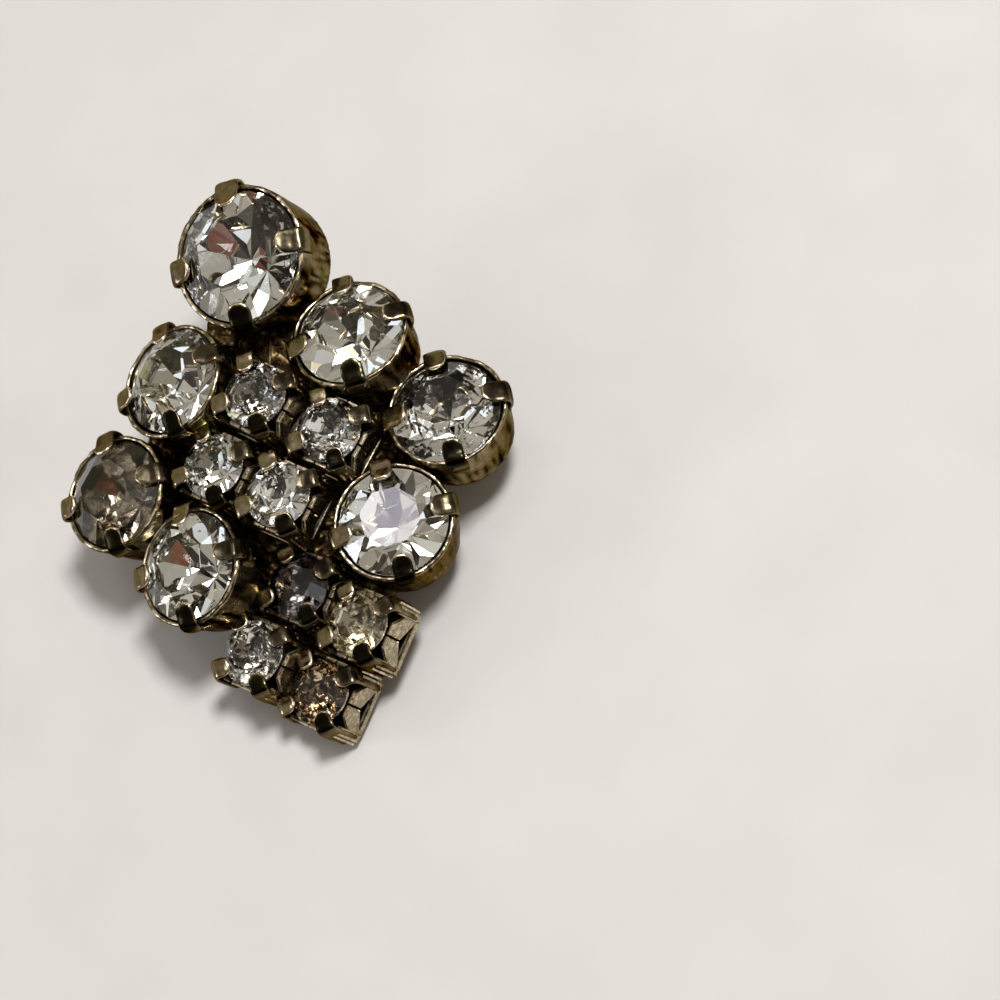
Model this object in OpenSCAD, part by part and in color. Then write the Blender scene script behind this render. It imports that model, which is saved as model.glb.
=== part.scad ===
// A clip on earring: fifteen cut glass stones in claw settings that are soldered edge to edge,
// with a plain clip behind. It lies face up, on the back of its clip and on its tail.
// Every piece is placed in the earring's own frame: across to the right, along to the large
// stone, rise out of the face. lie() then leans that frame back onto the surface.

/* [Stones] */
// Width of the large stone across its girdle
large_stone = 8.5; // [8:0.1:9]
// Width of each of the six medium stones
medium_stone = 7.0; // [6.6:0.1:7.2]
// Width of each of the eight small stones
small_stone = 4.2; // [4:0.1:4.3]
// Height of the crown as a share of the stone's width
crown_share = 0.17; // [0.14:0.01:0.2]
// Depth of the pointed back as a share of the stone's width
back_share = 0.42; // [0.38:0.01:0.42]
// Width of the table as a share of the stone's width
table_share = 0.56; // [0.5:0.01:0.62]
// Height of the upright band round the girdle
girdle = 0.2; // [0.15:0.01:0.25]

/* [Settings] */
// Depth of the large cup behind its rim
large_depth = 4.5; // [4.3:0.1:5]
// Depth of each medium cup
medium_depth = 3.8; // [3.6:0.1:4.2]
// Depth of each small square setting
small_depth = 2.9; // [2.7:0.1:3.2]
// Side of a small square setting
square_side = 4.5; // [4.4:0.1:4.7]
// Radius of the upright corners of a small setting
square_corner = 0.7; // [0.5:0.1:0.8]
// Thickness of the stamped metal
metal = 0.35; // [0.3:0.05:0.4]
// Thickness of a cup's rim round its stone
rim = 0.22; // [0.18:0.01:0.26]
// Room between a stone and its metal
fit_gap = 0.06; // [0.04:0.01:0.08]
// Width of a claw on the large cup
large_claw = 1.7; // [1.4:0.1:1.9]
// Width of a claw on a medium cup
medium_claw = 1.5; // [1.2:0.1:1.7]
// Width of a claw on a small setting
small_claw = 1.4; // [1.1:0.1:1.5]
// How far a claw on a cup reaches in over its stone
claw_reach = 1.2; // [0.9:0.1:1.3]
// How far a claw on a small setting reaches in over its stone
small_claw_reach = 0.55; // [0.4:0.05:0.7]
// Width of each slanting arm in the side of a small setting
arm_width = 0.7; // [0.5:0.05:0.8]

/* [Clip] */
// Radius of the round plate of the clip
plate_radius = 3.8; // [3.4:0.1:3.8]
// Thickness of the clip's plate
plate_thick = 0.8; // [0.6:0.1:1]
// Radius of the clip's knuckle
knuckle_radius = 1.0; // [0.9:0.1:1.1]
// Length of the knuckle across the clip
knuckle_length = 5.0; // [4.6:0.1:5]
// Radius of the round pad at the end of the paddle
pad_radius = 4.2; // [3.6:0.1:4.4]
// Width of the paddle's neck
neck_width = 4.8; // [4:0.2:5]
// Thickness of the paddle
paddle_thick = 0.9; // [0.8:0.05:1]

/* [Rest] */
// Lean of the face toward its tail as the earring lies on a surface
rest_lean = 16; // [15:0.5:17]

/* [Hidden] */
$fn = 48;

// Sizes by kind of stone: large, medium and small
LARGE = 0;
MEDIUM = 1;
SMALL = 2;
widths = [large_stone, medium_stone, small_stone];
depths = [large_depth, medium_depth, small_depth];
claw_widths = [large_claw, medium_claw, small_claw];
claw_reaches = [claw_reach, claw_reach, small_claw_reach];
claw_metals = [metal, metal, 0.85 * metal];

// How far out the ridges of a stone's back run before they fork, as a share of its radius
ridge_share = 0.6;
// The angle of one of the sixteen steps round a stone
step = 22.5;

// A cup: its wall's radius at the foot, above the rounded foot and at the waist, as shares of
// its radius at the rim, then the foot's rounding and the ledge that the stone sits over
foot_share = 0.86;
low_share = 0.94;
waist_share = 0.97;
foot_round = 0.35;
ledge_drop = 0.56;
wall_slope = 0.25;
lip_rise = 0.12;
lip_start = 0.6;
claw_proud = 0.4;
claw_shoulder_drop = 0.35;
cup_claw_foot = 1.5;

// A claw's bend over the girdle
claw_neck = 0.15;
claw_shoulder = 0.45;
shoulder_inset = 0.12;
tip_round = 0.15;
claw_span = 5;

// A small setting: the top of its wall, the foot of its claws and the openings in its sides
wall_top = 0.42;
square_claw_foot = 1.1;
side_margin = 0.8;
notch_over = 0.3;
slit = 0.16;
bottom_rail = metal + 0.05;

// One row for each stone and its setting. The middle of the girdle lies at across, along and
// rise, in mm. lean_side tips the face to the right and lean_head to the large stone, and turn
// swings the claws to the left, all in degrees. The hand soldering leaves no two sides alike.
// kind, across, along, rise, lean_side, lean_head, turn
places = [
    [LARGE,    0.3,  12.2,  0.0,  -9,  2,  0],
    [MEDIUM,   6.3,   6.1, -0.8,   1, 22,  7],
    [MEDIUM,  11.4,   0.4, -1.8,   5, 19,  4],
    [MEDIUM,   7.3,  -5.9, -0.6,   7, 11,  7],
    [MEDIUM,  -5.4,   5.4, -0.2, -16, 17, 12],
    [MEDIUM, -10.3,  -0.8, -0.5, -15, 12,  7],
    [MEDIUM,  -5.6,  -6.4,  0.8, -16, 10,  3],
    [SMALL,    0.3,   3.2,  1.1,  -2, 14,  9],
    [SMALL,    4.4,   0.3,  0.3,   2, 12, 10],
    [SMALL,    0.8,  -3.1,  1.0,   0, 11, 12],
    [SMALL,   -3.2,  -0.5,  0.6,  -7, 14, 12],
    [SMALL,    0.6,  -8.6, -1.0,  -8, 13, 15],
    [SMALL,    4.1, -11.6, -0.5, -10, 14, 16],
    [SMALL,    0.8, -15.2, -1.2, -10, 13, 15],
    [SMALL,   -2.9, -12.2, -0.7,  -8, 12, 14]
];
function kind(i) = places[i][0];
function middle(i) = [places[i][1], places[i][2], places[i][3]];
function lean_side(i) = places[i][4];
function lean_head(i) = places[i][5];
function turn(i) = places[i][6];
CENTRE_BLOCK = [7, 8, 9, 10];
TAIL_TIP = 13;

// Neighbours whose walls a short run of solder joins low down, as pairs of rows of places
joins = [
    [0, 1], [0, 4], [1, 2], [2, 3], [4, 5], [5, 6],
    [7, 8], [8, 9], [9, 10], [10, 7], [0, 7],
    [1, 7], [4, 7], [2, 8], [5, 10], [3, 9], [6, 9],
    [9, 11], [3, 12], [6, 14],
    [11, 12], [12, 13], [13, 14], [14, 11]
];
// Gaps between three neighbours that a thin pool of solder closes from behind
pools = [
    [0, 4, 7], [0, 1, 7], [1, 7, 8], [1, 2, 8], [2, 3, 8], [3, 8, 9],
    [4, 7, 10], [4, 5, 10], [5, 6, 10], [6, 9, 10],
    [6, 9, 11], [3, 9, 11], [3, 11, 12], [6, 11, 14],
    [7, 8, 9], [7, 9, 10], [11, 12, 13], [11, 13, 14]
];
pool_thick = 0.5;
pool_rise = 0.35;
pool_inset = 1.2;
solder_radius = 0.55;
solder_rise = 0.4;
solder_bite = 0.8;
post_radius = 1.2;
post_bite = 0.15;

// The way out of the face of a leaning setting
function face_way(i) =
    [sin(lean_side(i)) * cos(lean_head(i)),
     sin(lean_head(i)),
     cos(lean_side(i)) * cos(lean_head(i))];
// The middle of a setting's back
function back_middle(i) = middle(i) - depths[kind(i)] * face_way(i);
// The crown of a stone of this kind: its height, its table, and how high a plain cone from
// girdle to table would stand at a radius
function crown_height(k) = crown_share * widths[k];
function table_radius(k) = table_share * widths[k] / 2;
function cone_at(k, r) =
    girdle / 2 + (widths[k] / 2 - r) * (crown_height(k) - girdle / 2)
    / (widths[k] / 2 - table_radius(k));
// One of a ring of points round the axis
function ring_point(r, angle, z) = [r * cos(angle), r * sin(angle), z];

// How far out a setting's wall stands near its back
function wall_radius(k) = k == SMALL ? square_side / 2 : 0.9 * widths[k] / 2;

// How a point of a setting's own frame moves into the earring's frame
function tip(p, a) = [p[0], p[1] * cos(a) + p[2] * sin(a), p[2] * cos(a) - p[1] * sin(a)];
function roll(p, a) = [p[0] * cos(a) + p[2] * sin(a), p[1], p[2] * cos(a) - p[0] * sin(a)];
function placed(i, p) = middle(i) + roll(tip(p, lean_head(i)), lean_side(i));

// The height of a point of the earring's frame over the lowest point of the lying tail
corner_radius = (square_side / 2 - square_corner) * sqrt(2) + square_corner;
function lying(p) = p[1] * sin(rest_lean) + p[2] * cos(rest_lean);
tail_corners = [for (q = [0 : 3])
    placed(TAIL_TIP, [corner_radius * cos(90 * q + turn(TAIL_TIP)),
                      corner_radius * sin(90 * q + turn(TAIL_TIP)),
                      -small_depth])];
floor_drop = -min([for (c = tail_corners) lying(c)]);

// Where the lying earring's box has its middle
box_middle = [0.6, -0.16];

// The clip
clip_across = 0.8;
clip_along = -1.2;
clip_rise = -3.2;
seat_gap = 0.05;
ear_width = 1.0;
knuckle_along = -4.7;
knuckle_rise = -6.1;
paddle_bend = 5;
neck_bend_angle = 50;
tip_bend_angle = 22;
pad_along = 5.4;
flat_start = 0.6;
flat_end = 8.6;

// Carries the earring's frame onto the surface that it lies on
module lie() {
    translate([-box_middle[0], -box_middle[1], floor_drop])
        rotate([rest_lean, 0, 0])
            children();
}

// Carries a setting's own frame, whose face looks along +Z, to its place
module seat(i) {
    translate(middle(i))
        rotate([-lean_head(i), lean_side(i), 0])
            rotate([0, 0, turn(i)])
                children();
}

// A cut stone: an octagonal table, eight four-sided facets off its sides and eight triangles
// off its corners, a thin girdle, and a pointed back of eight facets with eight small ones
module cut_stone(k) {
    r = widths[k] / 2;
    deep = girdle / 2 + back_share * widths[k];
    ridge_rise = (deep - girdle / 2) * ridge_share * cos(step) / cos(step / 2);
    table = [for (q = [0 : 7]) ring_point(table_radius(k), step * (2 * q + 1), crown_height(k))];
    upper = [for (j = [0 : 15]) ring_point(r, step * (j + 0.5), girdle / 2)];
    lower = [for (j = [0 : 15]) ring_point(r, step * (j + 0.5), -girdle / 2)];
    fork = [for (q = [0 : 7]) ring_point(ridge_share * r, step * (2 * q + 1), ridge_rise - deep)];
    UPPER = 8;
    LOWER = 24;
    FORK = 40;
    POINT = 48;
    faces = concat(
        [[for (q = [0 : 7]) q]],
        [for (q = [0 : 7]) [(q + 7) % 8, UPPER + (2 * q + 15) % 16, UPPER + 2 * q, q]],
        [for (q = [0 : 7]) [q, UPPER + 2 * q, UPPER + 2 * q + 1]],
        [for (j = [0 : 15]) [UPPER + j, LOWER + j, LOWER + (j + 1) % 16, UPPER + (j + 1) % 16]],
        [for (q = [0 : 7])
            [POINT, FORK + q, LOWER + 2 * q, LOWER + (2 * q + 15) % 16, FORK + (q + 7) % 8]],
        [for (q = [0 : 7]) [FORK + q, LOWER + 2 * q + 1, LOWER + 2 * q]]
    );
    polyhedron(concat(table, upper, lower, fork, [[0, 0, -deep]]),
               [for (f = faces) [for (j = [len(f) - 1 : -1 : 0]) f[j]]]);
}

// Four claws as one ring cut to a cross of tongues with round ends
module claws(k, outer, proud, foot) {
    r = widths[k] / 2;
    w = claw_widths[k];
    thick = claw_metals[k];
    tip_r = r - claw_reaches[k];
    bend_r = r - claw_reaches[k] / 3;
    intersection() {
        rotate_extrude()
            polygon([
                [r + fit_gap, -foot],
                [outer, -foot],
                [outer + proud, -claw_shoulder_drop],
                [outer + proud, claw_neck],
                [outer + proud - shoulder_inset, claw_shoulder],
                [bend_r, cone_at(k, bend_r) + fit_gap + thick],
                [tip_r + tip_round, cone_at(k, tip_r + tip_round) + fit_gap + thick],
                [tip_r, cone_at(k, tip_r) + fit_gap + thick / 2],
                [tip_r, cone_at(k, tip_r) + fit_gap],
                [r + fit_gap, girdle / 2 + fit_gap]
            ]);
        translate([0, 0, -foot])
            linear_extrude(claw_span)
                for (q = [0 : 3])
                    rotate(90 * q) {
                        translate([tip_r + w / 2, -w / 2])
                            square([outer + proud, w]);
                        translate([tip_r + w / 2, 0])
                            circle(d = w);
                    }
    }
}

// A round cup with a thin rim, a ledge that the stone sits over and four claws
module cup(k) {
    r = widths[k] / 2;
    inner = r + fit_gap;
    outer = inner + rim;
    ledge = r - metal;
    d = depths[k];
    rotate_extrude()
        polygon([
            [0, -d],
            [outer * foot_share, -d],
            [outer * low_share, -d + foot_round],
            [outer * waist_share, -d / 2],
            [outer, -lip_start],
            [outer, lip_rise],
            [inner + 0.2 * rim, lip_rise + girdle / 3],
            [inner, lip_rise],
            [inner, -ledge_drop],
            [ledge, -ledge_drop],
            [ledge - wall_slope, -d + metal],
            [0, -d + metal]
        ]);
    claws(k, outer, claw_proud, cup_claw_foot);
}

// The openings stamped in one side of a small setting: a V notch beside each corner, a
// triangle under the arms, and the slit where their ends meet
module side_cuts() {
    top = -wall_top;
    low = -small_depth + bottom_rail;
    edge = square_side / 2 - side_margin;
    arm = 0.85 * arm_width;
    for (s = [-1, 1])
        polygon([
            [s * edge, top + notch_over],
            [s * arm, top + notch_over],
            [s * arm, top],
            [s * edge, low + 1.1 * arm_width]
        ]);
    polygon([[-edge, low], [edge, low], [0, top - 1.25 * arm_width]]);
    translate([-slit / 2, top - 1.5 * arm_width])
        square([slit, 1.5 * arm_width + notch_over]);
}

// A small square setting: a stamped box whose four corners rise into claws
module square_setting() {
    half = square_side / 2;
    c = square_corner;
    difference() {
        translate([0, 0, -small_depth])
            linear_extrude(small_depth - wall_top)
                rotate(45) {
                    square([square_side, square_side - 2 * c], center = true);
                    square([square_side - 2 * c, square_side], center = true);
                    for (x = [-1, 1], y = [-1, 1])
                        translate([x * (half - c), y * (half - c)])
                            circle(c);
                }
        translate([0, 0, -small_depth + metal])
            rotate(45)
                linear_extrude(small_depth)
                    square(square_side - 2 * metal, center = true);
        for (a = [45, 135])
            rotate([0, 0, a])
                rotate([90, 0, 0])
                    translate([0, 0, -square_side])
                        linear_extrude(2 * square_side)
                            side_cuts();
    }
    claws(SMALL, corner_radius, 0, square_claw_foot);
}

// A run of solder between the walls of two neighbours, just above their backs
module solder_run(i, j) {
    from = back_middle(i) + solder_rise * face_way(i);
    way = back_middle(j) + solder_rise * face_way(j) - from;
    distance = norm(way);
    start = wall_radius(kind(i)) - solder_bite;
    length = distance - start - wall_radius(kind(j)) + solder_bite;
    translate(from + way * start / distance)
        rotate([0, acos(way[2] / distance), atan2(way[1], way[0])])
            cylinder(r = solder_radius, h = length);
}

// A thin triangular pool of solder whose corners lie in the backs of three neighbours
module solder_pool(trio) {
    backs = [for (i = trio) back_middle(i) + pool_rise * face_way(i)];
    centre = (backs[0] + backs[1] + backs[2]) / 3;
    corners = [for (b = backs) b + pool_inset * (centre - b) / norm(centre - b)];
    square_to = cross(corners[1] - corners[0], corners[2] - corners[0]);
    way = square_to * sign(square_to[2]) / norm(square_to);
    lean = acos(way[2]);
    swing = atan2(way[1], way[0]);
    first = [cos(lean) * cos(swing), cos(lean) * sin(swing), -sin(lean)];
    second = [-sin(swing), cos(swing), 0];
    translate(corners[0] - pool_thick / 2 * way)
        rotate([0, lean, swing])
            linear_extrude(pool_thick)
                polygon([for (c = corners) [(c - corners[0]) * first, (c - corners[0]) * second]]);
}

// All the metal of the face, soldered into one piece
module settings() {
    color("#8d8474")
        lie() {
            for (i = [0 : len(places) - 1])
                seat(i)
                    if (kind(i) == SMALL)
                        square_setting();
                    else
                        cup(kind(i));
            for (pair = joins)
                solder_run(pair[0], pair[1]);
            for (trio = pools)
                solder_pool(trio);
            for (i = CENTRE_BLOCK) {
                foot = back_middle(i);
                translate([foot[0], foot[1], clip_rise])
                    cylinder(r = post_radius, h = foot[2] - clip_rise + post_bite);
            }
        }
}

// A stone in its setting
module stone(i) {
    color("#d9dfe2")
        lie()
            seat(i)
                cut_stone(kind(i));
}

// The side outline of the paddle: flat where it lies, bent up at both ends
module paddle_side() {
    translate([flat_start, 0])
        square([flat_end - flat_start, paddle_thick]);
    for (s = [0, 1])
        translate([s == 0 ? flat_start : flat_end, paddle_bend])
            intersection() {
                difference() {
                    circle(paddle_bend);
                    circle(paddle_bend - paddle_thick);
                }
                polygon([[0, 0], [0, -2 * paddle_bend],
                         [s == 0 ? -2 * paddle_bend * tan(neck_bend_angle)
                                 : 2 * paddle_bend * tan(tip_bend_angle),
                          -2 * paddle_bend]]);
            }
}

// The clip: a plate on the back of the face, two ears, a knuckle and a paddle with a round pad
module ear_clip() {
    color("#8a8172") {
        lie()
            translate([clip_across, clip_along, clip_rise - seat_gap - plate_thick])
                cylinder(r = plate_radius, h = plate_thick);
        lie()
            for (s = [-1, 1])
                translate([clip_across + s * (knuckle_length - ear_width) / 2 - ear_width / 2,
                           knuckle_along - knuckle_radius, knuckle_rise])
                    cube([ear_width, 2 * knuckle_radius, clip_rise - seat_gap - knuckle_rise]);
        lie()
            translate([clip_across - knuckle_length / 2, knuckle_along, knuckle_rise])
                rotate([0, 90, 0])
                    cylinder(r = knuckle_radius, h = knuckle_length);
        translate([clip_across - box_middle[0], -box_middle[1], 0])
            intersection() {
                rotate([90, 0, 90])
                    translate([0, 0, -pad_radius - 1])
                        linear_extrude(2 * pad_radius + 2)
                            paddle_side();
                translate([0, 0, -1])
                    linear_extrude(8) {
                        translate([0, pad_along])
                            circle(pad_radius);
                        translate([-neck_width / 2, -6])
                            square([neck_width, pad_along + 6]);
                    }
            }
    }
}

settings();
ear_clip();
stone(0);  // stone_large
stone(1);  // stone_medium_1
stone(2);  // stone_medium_2
stone(3);  // stone_medium_3
stone(4);  // stone_medium_4
stone(5);  // stone_medium_5
stone(6);  // stone_medium_6
stone(7);  // stone_small_1
stone(8);  // stone_small_2
stone(9);  // stone_small_3
stone(10);  // stone_small_4
stone(11);  // stone_small_5
stone(12);  // stone_small_6
stone(13);  // stone_small_7
stone(14);  // stone_small_8
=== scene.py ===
"""A clip on earring of cut glass stones in aged plated settings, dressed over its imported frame.

Every shape is worked out in millimetres in the frame of its own setting, whose face looks along +Z,
and is then carried to where the frame's stone sits. Names of places: out is the way the face looks,
head is toward the large stone. A seed sets what makes one piece unlike the next.
"""

import logging
import math
from dataclasses import dataclass, field
from enum import Enum

import bpy
import numpy as np
from mathutils import Matrix, Vector


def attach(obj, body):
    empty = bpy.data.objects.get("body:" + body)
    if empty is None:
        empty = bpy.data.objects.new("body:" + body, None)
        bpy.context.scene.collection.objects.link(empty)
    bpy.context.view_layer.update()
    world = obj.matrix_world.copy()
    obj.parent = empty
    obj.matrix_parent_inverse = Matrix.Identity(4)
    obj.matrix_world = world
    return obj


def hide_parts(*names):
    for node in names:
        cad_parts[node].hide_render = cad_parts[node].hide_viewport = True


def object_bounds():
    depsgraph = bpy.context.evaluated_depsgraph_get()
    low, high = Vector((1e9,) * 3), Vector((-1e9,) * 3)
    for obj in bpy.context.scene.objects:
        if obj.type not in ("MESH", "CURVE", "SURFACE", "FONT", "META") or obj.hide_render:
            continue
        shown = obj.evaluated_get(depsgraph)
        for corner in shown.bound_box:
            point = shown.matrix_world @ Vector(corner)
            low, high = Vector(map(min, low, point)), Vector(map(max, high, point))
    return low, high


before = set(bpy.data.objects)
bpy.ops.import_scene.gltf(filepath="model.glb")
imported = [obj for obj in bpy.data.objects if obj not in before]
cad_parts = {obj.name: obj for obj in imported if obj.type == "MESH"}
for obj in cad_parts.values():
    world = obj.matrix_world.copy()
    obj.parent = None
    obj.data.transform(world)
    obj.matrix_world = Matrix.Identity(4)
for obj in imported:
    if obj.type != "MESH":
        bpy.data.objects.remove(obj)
CAD_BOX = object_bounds()

LOG = logging.getLogger("earring")
MM = 0.001
TAU = 2.0 * math.pi
QUARTER = TAU / 4.0
EIGHTH = TAU / 8.0
# How far the claws' faces are painted dark, a painted dark reflection that is darkest on the tail side: the
# one at +X of a setting, then round by the head to the tail.
CLAW_PAINTED_SHADE = (0.62, 0.0, 0.15, 0.88)
# The share of its reach past which a stone's corner is on its girdle, how far under its top its
# table's corners may lie in mm, and the least turn in degrees, from which eighths are counted.
GIRDLE_SHARE = 0.98
TABLE_SLACK = 0.02
LEAST_TURN = -14.0
# Settings of nodes that are often wanted: a value times a number plus another, and a soft climb.
TIMES_PLUS = {"operation": "MULTIPLY_ADD"}
SOFTLY = {"interpolation_type": "SMOOTHSTEP"}

Socket = bpy.types.NodeSocket
Array = np.ndarray
Span = tuple[float, float]
Triple = tuple[float, float, float]


def linear(code: str) -> tuple[float, ...]:
    """Linear red, green, blue and an alpha of 1 for an sRGB colour of six hex digits."""
    parts = [int(code[i : i + 2], 16) / 255.0 for i in (0, 2, 4)]
    return (*(c / 12.92 if c <= 0.04045 else ((c + 0.055) / 1.055) ** 2.4 for c in parts), 1.0)


def per_metre(length: float) -> float:
    """A pattern's scale whose features are a length in mm across."""
    return 1.0 / (length * MM)


@dataclass
class Nodes:
    """A node tree in the making."""

    tree: bpy.types.NodeTree

    def put(self, node: bpy.types.Node, values: dict) -> None:
        """Give a node's inputs their values, and links where a value is another node's output."""
        for name, value in values.items():
            if isinstance(value, Socket):
                self.tree.links.new(value, node.inputs[name])
            else:
                node.inputs[name].default_value = value

    def add(
        self, kind: str, output: str | int, values: dict | None = None, stops: tuple = (), **settings: object
    ) -> Socket:
        """Add a node with its settings and links.

        Args:
            kind: Its type's name without ShaderNode.
            output: Which of its outputs is wanted.
            values: Its inputs' names or numbers, each with a value or another node's output.
            stops: Rising places on its colour band from 0 to 1, each with a hex colour.
            settings: Its own properties.

        Returns:
            The output.
        """
        made = self.tree.nodes.new("ShaderNode" + kind)
        for name, value in settings.items():
            setattr(made, name, value)
        for number, (place, code) in enumerate(stops):
            band = made.color_ramp.elements
            element = band[number] if number < len(band) else band.new(place)
            element.position, element.color = place, linear(code)
        self.put(made, values or {})
        return made.outputs[output]


@dataclass(frozen=True)
class Finish:
    """What a surface looks like, under its material's name."""

    name: str

    def made(self) -> bpy.types.Material:
        """Build the material."""
        material = bpy.data.materials.new(self.name)
        material.use_nodes = True
        shader = material.node_tree.nodes["Principled BSDF"]
        nodes = Nodes(material.node_tree)
        nodes.put(shader, self.look(nodes))
        return material

    def look(self, nodes: Nodes) -> dict:
        """The shader's inputs by name, worked out in each finish's own way."""
        raise NotImplementedError


@dataclass(frozen=True)
class Foil(Finish):
    """Silvered and lacquered back of a glass stone, gone dark in spots with age.

    It mirrors sharply where it is sound, so its facets flash white or black. Damp has left brown
    and grey clouds and a crackle, as far as the attribute aged tells. Real crackle is too fine to
    show, so it is drawn coarser.
    """

    name: str = "silvered_back"
    sound: str = "f4f4f2"
    cloud: str = "6b5f50"
    dark: str = "12100f"
    crackle_mm: float = 0.3
    crackle: float = 0.3
    cloud_mm: float = 1.3
    damp: float = 0.7
    span: Span = (0.96, 1.12)
    sharp: float = 0.015
    dull: float = 0.3
    blister: float = 0.3
    blister_mm: float = 0.02

    def look(self, nodes: Nodes) -> dict:
        """A sharp mirror where the foil is sound, and a dull dark one where it has gone.

        Args:
            nodes: The material's nodes.

        Returns:
            The shader's inputs by name.
        """
        place = nodes.add("TexCoord", "Object")
        noise = {"Vector": place, "Scale": per_metre(self.cloud_mm), "Detail": 5.0, "Roughness": 0.65}
        clouds = nodes.add("TexNoise", "Fac", noise)
        cells = nodes.add("TexVoronoi", "Color", {"Vector": place, "Scale": per_metre(self.crackle_mm)})
        cell = nodes.add("SeparateColor", "Red", {"Color": cells})
        spread = nodes.add("Math", 0, {0: cell, 1: self.crackle, 2: clouds}, **TIMES_PLUS)
        aged = nodes.add("Attribute", "Fac", attribute_name="aged")
        reached = nodes.add("Math", 0, {0: aged, 1: self.damp, 2: spread}, **TIMES_PLUS)
        limits = {"Value": reached, "From Min": self.span[0], "From Max": self.span[1]}
        gone = nodes.add("MapRange", "Result", limits, **SOFTLY)
        stops = ((0.0, self.sound), (0.5, self.cloud), (1.0, self.dark))
        blisters = {"Height": gone, "Strength": self.blister, "Distance": self.blister_mm * MM}
        ends = {"Value": gone, "To Min": self.sharp, "To Max": self.dull}
        return {
            "Base Color": nodes.add("ValToRGB", "Color", {"Fac": gone}, stops),
            "Metallic": 1.0,
            "Roughness": nodes.add("MapRange", "Result", ends),
            "Normal": nodes.add("Bump", "Normal", blisters),
        }


@dataclass(frozen=True)
class Glass(Finish):
    """Cut and polished lead glass: clear, with a sharp gloss and a few fine scuffs.

    A high index bends the facets behind into a star of sharp pieces.
    """

    tint: str = "f4f6f3"
    ior: float = 1.58
    rough: float = 0.015
    scuff_mm: float = 0.35
    scuff: float = 0.02
    scuff_depth_mm: float = 0.01

    def look(self, nodes: Nodes) -> dict:
        """Clear glass that is faintly scuffed.

        Args:
            nodes: The material's nodes.

        Returns:
            The shader's inputs by name.
        """
        place = nodes.add("TexCoord", "Object")
        noise = {"Vector": place, "Scale": per_metre(self.scuff_mm), "Detail": 5.0, "Roughness": 0.7}
        scuffs = nodes.add("TexNoise", "Fac", noise)
        scratched = {"Height": scuffs, "Strength": self.scuff, "Distance": self.scuff_depth_mm * MM}
        return {
            "Base Color": linear(self.tint),
            "Transmission Weight": 1.0,
            "IOR": self.ior,
            "Roughness": self.rough,
            "Normal": nodes.add("Bump", "Normal", scratched),
        }


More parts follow.
